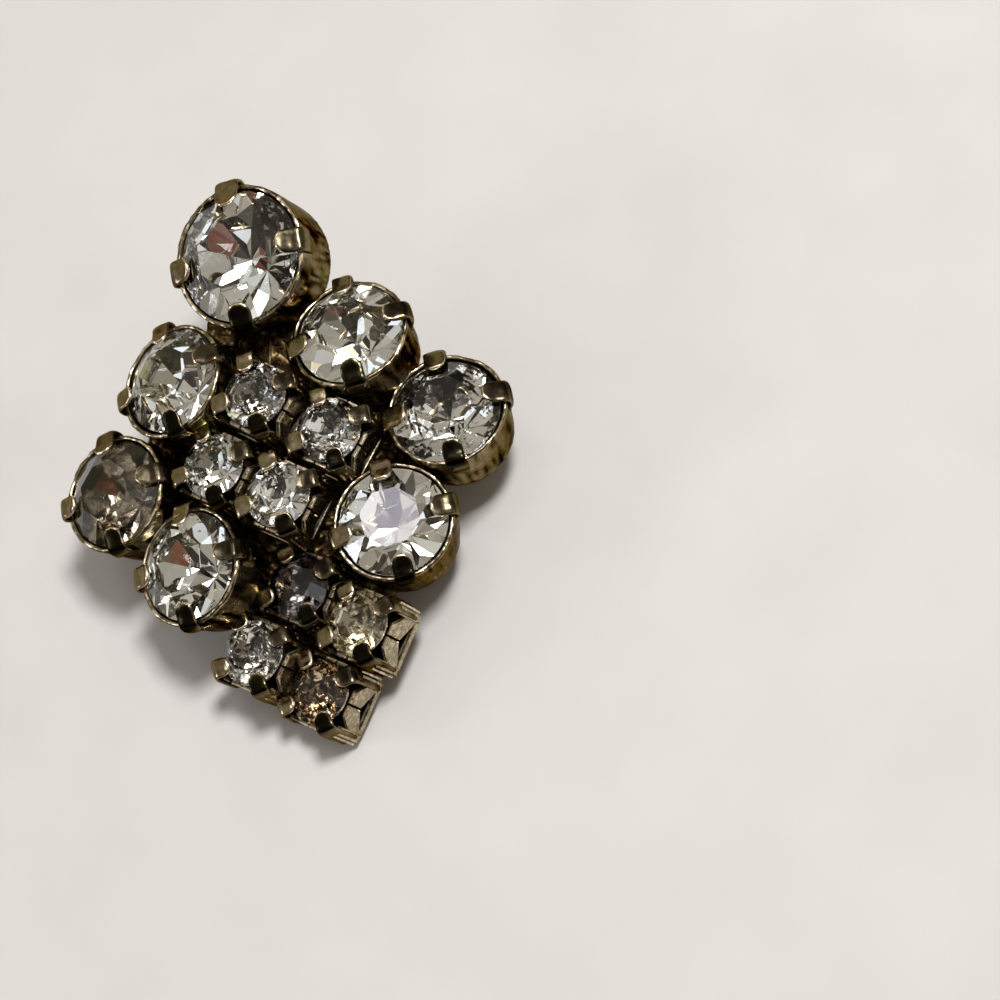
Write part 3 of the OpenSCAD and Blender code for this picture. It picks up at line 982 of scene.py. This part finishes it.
@dataclass
class Settings:
    """All the metal of the face: cups, square settings, solder and the posts of the clip, in mm.

    webs, pools and posts name seats by their numbers. Seeds are apart for each kind of piece.
    """

    seats: list[Seat]
    finish: AgedPlate
    fused: AgedPlate
    rubbed: AgedPlate
    cup_seed: int = 300
    square_seed: int = 700
    shy: float = 0.004
    cup_wall: float = 0.9
    square_wall: float = 2.25
    run_seed: int = 40
    run_room: float = 1.3
    run_bite: float = 0.7
    run_radius: float = 0.55
    run_rise: float = 0.4
    web_seed: int = 140
    webs: tuple[tuple[int, int], ...] = ((0, 4), (4, 5))
    web_depth: float = 2.0
    web_tall: float = 1.5
    web_wide: float = 2.3
    pools: tuple[tuple[int, int, int], ...] = (
        (0, 4, 7), (0, 1, 7), (1, 7, 8), (1, 2, 8), (2, 3, 8), (3, 8, 9),
        (4, 7, 10), (4, 5, 10), (5, 6, 10), (6, 9, 10),
        (6, 9, 11), (3, 9, 11), (3, 11, 12), (6, 11, 14),
        (7, 8, 9), (7, 9, 10), (11, 12, 13), (11, 13, 14),
    )
    pool_seed: int = 90
    pool_rows: int = 44
    pool_bite: float = 0.12
    pool_lift: float = 0.2
    pool_sag: float = 0.16
    pool_thick: float = 0.22
    post_seed: int = 60
    posts: tuple[int, ...] = (7, 8, 9, 10)
    post_radius: float = 1.2
    post_bite: float = 0.15
    post_waist: float = 0.1
    clip_top: float = 5.11
    clip_lean: float = 16.0

    def build(self) -> list[bpy.types.Object]:
        """Build and dress every piece of the settings."""
        cups = {
            Size.LARGE: RoundCup(Size.LARGE.depth, ClawShape(width=1.6, thick=0.34, reach=1.15)),
            Size.MEDIUM: RoundCup(Size.MEDIUM.depth, ClawShape(width=1.36, thick=0.32, reach=1.05)),
        }
        small = ClawShape(width=1.2, thick=0.28, reach=0.62, foot=2.7, root=0.9, proud=0.0, blunt=0.5)
        square = SquareSetting(Size.SMALL.depth, small)
        round_shells, square_shells, side_shells = [], [], []
        for number, seat in enumerate(self.seats):
            if seat.size is Size.SMALL:
                base, sides = square.shells(seat, self.square_seed + number)
                square_shells.append(base)
                side_shells.append(sides)
            else:
                round_shells.append(cups[seat.size].shell(seat, self.cup_seed + number))
        for shell in round_shells + square_shells + side_shells:
            shell.points = self.inside(shell.points)
        metal = self.finish.made()
        pieces = [
            Shell.joined(round_shells).made("round_cups", [metal], True),
            Shell.joined(square_shells).made("square_settings", [metal], True),
            Shell.joined(side_shells).made("stamped_sides", [self.rubbed.made()], False),
            self.solder().made("solder_runs", [self.fused.made()], True),
        ]
        for piece in pieces:
            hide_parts("settings")
            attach(piece, "root")
            LOG.info("%s: %d faces", piece.name, len(piece.data.polygons))
        return pieces

    def inside(self, points: Array) -> Array:
        """Press points that waves have carried past the frame's box back onto its faces."""
        low, high = np.array(CAD_BOX) / MM
        return np.clip(points, low + self.shy, high - self.shy)

    def back(self, seat: Seat) -> Array:
        """A point just above the middle of a setting's back."""
        return seat.behind(seat.size.depth - self.run_rise)

    def wall(self, seat: Seat) -> float:
        """How far out a setting's wall stands near its back."""
        return self.square_wall if seat.size is Size.SMALL else self.cup_wall * seat.radius

    def solder(self) -> Shell:
        """All the solder: runs between neighbours, webs, pools and the clip's posts."""
        pairs = [(i, one, other) for i, one in enumerate(self.seats) for other in self.seats[i + 1 :]]
        near = [pair for pair in pairs if self.room(*pair[1:]) <= self.run_room]
        shells = [self.run(one, other, self.run_seed + i) for i, one, other in near]
        shells += [self.web(self.seats[i], self.seats[j], self.web_seed + i) for i, j in self.webs]
        for number, trio in enumerate(self.pools):
            shells.append(self.pool([self.seats[i] for i in trio], self.pool_seed + number))
        shells += [self.post(self.seats[i], self.post_seed + i) for i in self.posts]
        return Shell.joined(shells)

    def room(self, one: Seat, other: Seat) -> float:
        """How far apart the walls of two settings stand near their backs."""
        return float(np.linalg.norm(self.back(other) - self.back(one))) - self.wall(one) - self.wall(other)

    def run(self, one: Seat, other: Seat, seed: int) -> Shell:
        """A run of solder between two neighbours: a circle carried from wall to wall at their backs.

        It widens with the square of the way from its middle and closes at either end.

        Args:
            one: A setting's seat.
            other: Its neighbour's.
            seed: What makes no two runs alike.

        Returns:
            A closed shell.
        """
        start, end = self.back(one), self.back(other)
        distance = float(np.linalg.norm(end - start))
        t = np.linspace(0.0, 1.0, 20)
        first = (self.wall(one) - self.run_bite) / distance
        last = 1.0 - (self.wall(other) - self.run_bite) / distance
        path = start + (end - start) * (first + (last - first) * t)[:, None]
        size = 2.0 * self.run_radius * (0.82 + 0.9 * (t - 0.5) ** 2) * (0.3 + 0.7 * closing(t, 0.05))
        shell = swept(path, one.ways[2] + 0.01, size, size, boxy=2.0, sides=18)
        shell.shake(0.07, 0.9, seed, one.ways[2])
        shell.values["grime_and_shade"] = np.full(len(shell.points), 0.4)
        return shell

    def web(self, one: Seat, other: Seat, seed: int) -> Shell:
        """Solder that has crept up between two round cups: a flat section carried from wall to wall.

        It stands upright, thins at either end, and smooth noise moves it up and down.

        Args:
            one: A cup's seat.
            other: Its neighbour's.
            seed: What makes no two webs alike.

        Returns:
            A closed shell, thick in the middle of its height.
        """
        ends = []
        for near, far in ((one, other), (other, one)):
            way = squared(far.middle - near.middle, near.ways[2])
            ends.append(near.behind(self.web_depth) + (near.radius - 0.1) * way)
        t = np.linspace(0.0, 1.0, 14)
        path = ends[0] + (ends[1] - ends[0]) * t[:, None]
        close = 0.4 + 0.6 * closing(t, 0.1)
        tall, wide = self.web_tall * close, self.web_wide * close
        shell = swept(path, one.ways[2] + 0.01, tall, wide, boxy=2.3, sides=24)
        shell.shake(0.08, 0.8, seed, one.ways[2])
        shell.values["wear"] = unit(0.25 + 0.5 * ripple(shell.points, 0.5, seed + 1))
        shell.values["grime_and_shade"] = unit(0.25 + 0.3 * ripple(shell.points, 0.7, seed + 2))
        return shell

    def pool(self, trio: list[Seat], seed: int) -> Shell:
        """The thin pool of solder that closes the gap between three neighbours from behind.

        Its top is a triangle of rows of points, from one corner to the side opposite, which smooth
        noise and a sag toward the middle move up and down. Its back is flat, a little lower.

        Args:
            trio: The three seats.
            seed: What makes no two pools alike.

        Returns:
            A closed shell.
        """
        corners = np.array([self.back(seat) for seat in trio])
        corners = corners - self.pool_bite * level(corners.mean(axis=0) - corners)
        up = np.cross(corners[1] - corners[0], corners[2] - corners[0])
        if up[2] < 0.0:
            up, corners = -up, corners[[0, 2, 1]]
        up = level(up)
        steps = np.linspace(0.0, 1.0, self.pool_rows)
        u, v = np.meshgrid(steps, steps, indexing="ij")
        share = np.stack([1.0 - u, u * (1.0 - v), u * v], axis=-1)
        flat = share @ corners
        # The product of the three shares is greatest in the middle, where the sag is 1.
        sag = share.prod(axis=-1) / (1.0 / 3.0) ** 3
        lumps = 0.16 * ripple(flat, 0.9, seed) + 0.07 * ripple(flat, 0.4, seed + 200)
        lift = self.pool_lift - self.pool_sag * sag + lumps * np.minimum(sag * 2.0, 1.0)
        top, low = flat + up * lift[..., None], flat - up * self.pool_thick
        soil = np.clip(0.45 - 0.4 * ripple(flat, 0.9, seed), 0.15, 0.9)
        shell = tube_shell(np.concatenate([top, low[:, ::-1]], axis=1))
        shell.mark("grime_and_shade", np.concatenate([soil, soil[:, ::-1]], axis=1), 0.6, 0.6)
        return shell

    def post(self, seat: Seat, seed: int) -> Shell:
        """One of the clip's four posts: a circle carried from its plate into a setting's back.

        Half a wave of a sine gives it its waist.

        Args:
            seat: The seat that stands on it.
            seed: What makes no two posts alike.

        Returns:
            A closed shell.
        """
        lean = math.radians(self.clip_lean)
        up = np.array([0.0, -math.sin(lean), math.cos(lean)])
        foot = seat.behind(seat.size.depth)
        t = np.linspace(0.0, 1.0, 16)
        path = foot + up * (self.post_bite * t - (foot @ up - self.clip_top) * (1.0 - t))[:, None]
        size = 2.0 * self.post_radius * (1.0 - self.post_waist * np.sin(math.pi * t))
        shell = swept(path, np.array([1.0, 0.0, 0.0]), size, size, boxy=2.0, sides=32)
        shell.shake(0.04, 0.8, seed, np.array([1.0, 1.0, 0.0]))
        shell.values["grime_and_shade"] = unit(0.35 + 0.3 * ripple(shell.points, 0.7, seed + 1))
        return shell


@dataclass(frozen=True)
class Ageing:
    """How far a stone's foil has gone all over, and how much more toward one side.

    The side is an angle in degrees in the setting's own frame, 0 toward its +X claw. The added
    share begins reach radii short of the middle. off is how far the stone sits off its seat in mm.
    """

    all_over: float
    side: float = 0.0
    more: float = 0.0
    reach: float = 0.2
    off: Span = (0.0, 0.0)

    def over(self, points: Array, radius: float) -> Array:
        """The ageing at each point: the share all over, and a ramp toward the side.

        Args:
            points: Points in the setting's own frame.
            radius: The stone's radius.

        Returns:
            One share for each point.
        """
        way = np.array([math.cos(math.radians(self.side)), math.sin(math.radians(self.side))])
        toward = points[:, :2] @ way / radius + self.reach
        return self.all_over + self.more * unit(toward / (1.0 - self.reach))


@dataclass
class Stones:
    """The cut glass stones, each with its silvered back, a little smaller than their seats.

    ageing and foils go by the seat's name: how far its foil has gone, and which foil it is where
    it isn't the usual one.
    """

    seats: list[Seat]
    glass: Glass
    foil: Foil
    ageing: dict[str, Ageing]
    foils: dict[str, Foil]
    share: float = 0.97

    def build(self) -> list[bpy.types.Object]:
        """Build and dress every stone."""
        clear, sound = self.glass.made(), self.foil.made()
        backs = {name: foil.made() for name, foil in self.foils.items()}
        pieces = []
        for seat in self.seats:
            shell = Cut(seat.radius * self.share).shell()
            ageing = self.ageing[seat.name]
            shell.values["aged"] = ageing.over(shell.points, seat.radius)
            shell.points[:, :2] += ageing.off
            shell.points = seat.place(shell.points)
            name = seat.name.replace("stone", "cut_stone")
            piece = shell.made(name, [clear, backs.get(seat.name, sound)], False)
            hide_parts(seat.name)
            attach(piece, "root")
            LOG.info("%s: %d faces", name, len(piece.data.polygons))
            pieces.append(piece)
        return pieces


@dataclass
class Clip:
    """The clip behind the face, one plain stamped piece with softened edges, in mm and degrees."""

    node: bpy.types.Object
    finish: AgedPlate
    merge: float = 0.001
    soften: float = 0.12
    least_angle: float = 40.0

    def dress(self) -> None:
        """Merge the solid's loose triangles, round its edges and give it its metal."""
        weld = self.node.modifiers.new("merged", "WELD")
        weld.merge_threshold = self.merge * MM
        round_edges = self.node.modifiers.new("softened", "BEVEL")
        round_edges.width = self.soften * MM
        round_edges.segments = 3
        round_edges.limit_method = "ANGLE"
        round_edges.angle_limit = math.radians(self.least_angle)
        self.node.data.materials.clear()
        self.node.data.materials.append(self.finish.made())
        LOG.info("%s: %d faces, its own solid's", self.node.name, len(self.node.data.polygons))


@dataclass(frozen=True)
class Camera:
    """The photograph's camera: its angles in degrees, its distance and aim in mm, its lens."""

    azimuth: float = 31.36
    elevation: float = 62.52
    roll: float = -39.5
    distance: float = 159.5
    aim: Triple = (12.7, -3.99, 3.6)
    focal_px: float = 2600.0
    frame_px: float = 1000.0
    sensor_mm: float = 36.0
    clip_m: Span = (0.005, 20.0)

    def made(self) -> bpy.types.Object:
        """Build the camera and make it the scene's."""
        data = bpy.data.cameras.new("photo_camera")
        data.sensor_width = self.sensor_mm
        data.lens = self.focal_px * self.sensor_mm / self.frame_px
        data.clip_start, data.clip_end = self.clip_m
        camera = bpy.data.objects.new("photo_camera", data)
        turns = (("Z", self.azimuth), ("X", 90.0 - self.elevation), ("Z", self.roll))
        place = Matrix.Translation(Vector(self.aim) * MM)
        for axis, angle in turns:
            place = place @ Matrix.Rotation(math.radians(angle), 4, axis)
        camera.matrix_world = place @ Matrix.Translation((0.0, 0.0, self.distance * MM))
        bpy.context.scene.collection.objects.link(camera)
        bpy.context.scene.camera = camera
        return camera


@dataclass(frozen=True)
class Glow:
    """One soft round patch of the surrounding light, by its way and its half widths in degrees."""

    way: Triple
    core: float
    edge: float
    code: str
    strength: float


@dataclass(frozen=True)
class Lamp:
    """One soft square lamp that is turned to the earring, in metres and watts."""

    name: str
    place: Triple
    size: float
    watts: float
    code: str

    def build(self) -> None:
        """Add the lamp to the scene."""
        data = bpy.data.lights.new(self.name, "AREA")
        data.size = self.size
        data.energy = self.watts
        data.color = linear(self.code)[:3]
        lamp = bpy.data.objects.new(self.name, data)
        turned = (-Vector(self.place)).to_track_quat("-Z", "Y").to_matrix().to_4x4()
        lamp.matrix_world = Matrix.Translation(Vector(self.place)) @ turned
        bpy.context.scene.collection.objects.link(lamp)


@dataclass
class Studio:
    """A plain pale floor and plain soft light, with a dim warm side where the viewer stands."""

    floor_half: float = 1500.0
    floor_z: float = -0.02
    bounces: int = 24
    glass_bounces: int = 16
    lamps: tuple[Lamp, ...] = (
        Lamp("soft_top", (0.16, 0.05, 0.42), 0.09, 2.2, "ffffff"),
        Lamp("side_fill", (-0.4, -0.05, 0.2), 0.1, 0.4, "eef3ff"),
    )
    glows: tuple[Glow, ...] = (
        Glow((-0.60, 0.72, 0.22), 30.0, 46.0, "a39d7c", 1.0),
        Glow((0.94, 0.0, 0.35), 18.0, 34.0, "b4aea4", 0.9),
        Glow((0.0, -0.93, 0.30), 25.0, 38.0, "120e0a", 1.0),
        Glow((-0.05, -0.66, 0.75), 9.0, 16.0, "241d18", 1.0),
        Glow((-0.09, -0.22, 0.97), 5.0, 9.0, "2e2823", 1.0),
        Glow((0.50, -0.83, 0.28), 14.0, 19.0, "744434", 0.9),
        Glow((0.53, -0.32, 0.79), 6.0, 12.0, "4c443b", 1.0),
        Glow((0.80, -0.27, 0.50), 6.0, 11.0, "fff0d2", 1.5),
        Glow((0.20, -0.01, 0.98), 6.0, 11.0, "ffffff", 0.8),
        Glow((0.42, -0.25, 0.87), 3.5, 7.0, "ffffff", 1.6),
        Glow((-0.21, -0.44, 0.87), 4.0, 8.0, "eef3ff", 1.5),
        Glow((-0.058, 0.230, 0.969), 5.0, 7.0, "f6f0ff", 7.0),
    )

    def build(self) -> None:
        """Build the floor, the surrounding light and the lamps."""
        self.floor()
        self.surround()
        for lamp in self.lamps:
            lamp.build()
        bpy.context.scene.view_settings.view_transform = "Standard"
        paths = bpy.context.scene.cycles
        paths.max_bounces = self.bounces
        paths.glossy_bounces = paths.transmission_bounces = self.glass_bounces

    def floor(self) -> None:
        """Build the floor as a wide square sheet under the earring."""
        h, z = self.floor_half, self.floor_z
        points = np.array([[-h, -h, z], [h, -h, z], [h, h, z], [-h, h, z]])
        plaster = Plaster("pale_plaster").made()
        Shell(points, [np.array([[0, 1, 2, 3]])], [0]).made("floor", [plaster], False)

    def surround(self) -> None:
        """Light the scene from all round: warm grey, paler overhead, with the glows laid over it."""
        world = bpy.data.worlds.new("soft_room")
        bpy.context.scene.world = world
        world.use_nodes = True
        nodes = Nodes(world.node_tree)
        way = nodes.add("TexCoord", "Generated")
        height = nodes.add("SeparateXYZ", "Z", {"Vector": way})
        level = nodes.add("MapRange", "Result", {"Value": height, "From Min": -0.2, "From Max": 1.0})
        stops = ((0.0, "4a4239"), (0.35, "61574c"), (0.75, "9a9084"), (1.0, "ccc5bc"))
        light = nodes.add("ValToRGB", "Color", {"Fac": level}, stops)
        for glow in self.glows:
            ways = {0: way, 1: Vector(glow.way).normalized()}
            toward = nodes.add("VectorMath", "Value", ways, operation="DOT_PRODUCT")
            low, high = (math.cos(math.radians(angle)) for angle in (glow.edge, glow.core))
            limits = {"Value": toward, "From Min": low, "From Max": high}
            share = nodes.add("MapRange", "Result", limits, **SOFTLY)
            colour = [c * glow.strength for c in linear(glow.code)[:3]]
            light = nodes.add("MixRGB", "Color", {"Fac": share, "Color1": light, "Color2": (*colour, 1.0)})
        nodes.put(world.node_tree.nodes["Background"], {"Color": light, "Strength": 1.0})


def main() -> None:
    """Build the earring and its studio in order."""
    logging.basicConfig(level=logging.INFO, format="%(name)s %(message)s")
    names = [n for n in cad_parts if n.startswith("stone_")]
    seats = [Seat.of_stone(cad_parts[n]) for n in sorted(names)]
    plate = AgedPlate("worn_silver_plate")
    fused = AgedPlate("flooded_solder", plate="564630", warm="4a3018", rust="54300f", rough=0.27)
    worn = {"plate": "b4ab93", "warm": "94866c", "olive": "88805e", "rough": 0.15, "mottle": 0.3}
    Settings(seats, plate, fused, AgedPlate("rubbed_side_plate", **worn)).build()
    ageing = {
        "stone_large": Ageing(0.07, 15.0, 0.95, -0.1),
        "stone_medium_1": Ageing(0.14, off=(0.07, 0.0)),
        "stone_medium_2": Ageing(0.14, 102.0, 0.78, 0.07, (-0.07, -0.07)),
        "stone_medium_3": Ageing(0.04, 0.0, 0.2),
        "stone_medium_4": Ageing(0.05, 10.0, 0.7, -0.1, (0.12, 0.0)),
        "stone_medium_5": Ageing(0.35, 130.0, 0.6, 0.1),
        "stone_medium_6": Ageing(0.04, 60.0, 0.6, -0.1, (-0.04, 0.04)),
        "stone_small_1": Ageing(0.45),
        "stone_small_2": Ageing(0.45),
        "stone_small_3": Ageing(0.0, 90.0, 0.45),
        "stone_small_4": Ageing(0.02, 90.0, 0.4),
        "stone_small_5": Ageing(0.52),
        "stone_small_6": Ageing(0.4),
        "stone_small_7": Ageing(0.48),
        "stone_small_8": Ageing(0.42),
    }
    foils = {
        "stone_medium_5": Foil("clouded_back", "e4e2dc", "b4aa9a", "6e6456", span=(0.7, 1.3), dull=0.06),
        "stone_small_5": Foil("greyed_back", "c8c2c2", "6a6266", "1c1a1c", span=(0.88, 1.15), dull=0.15),
        "stone_small_6": Foil("yellowed_back", "ece8dc", "b0a480", "4c4232", span=(0.8, 1.25), dull=0.15),
        "stone_small_7": Foil("browned_back", "e6d2b6", "5e4a36", "17110d", span=(0.9, 1.12), dull=0.2),
    }
    Stones(seats, Glass("cut_lead_glass"), Foil(), ageing, foils).build()
    Clip(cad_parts["ear_clip"], AgedPlate("plain_clip_plate", rough=0.21)).dress()
    Camera().made()
    Studio().build()


if __name__ == "__main__":
    main()
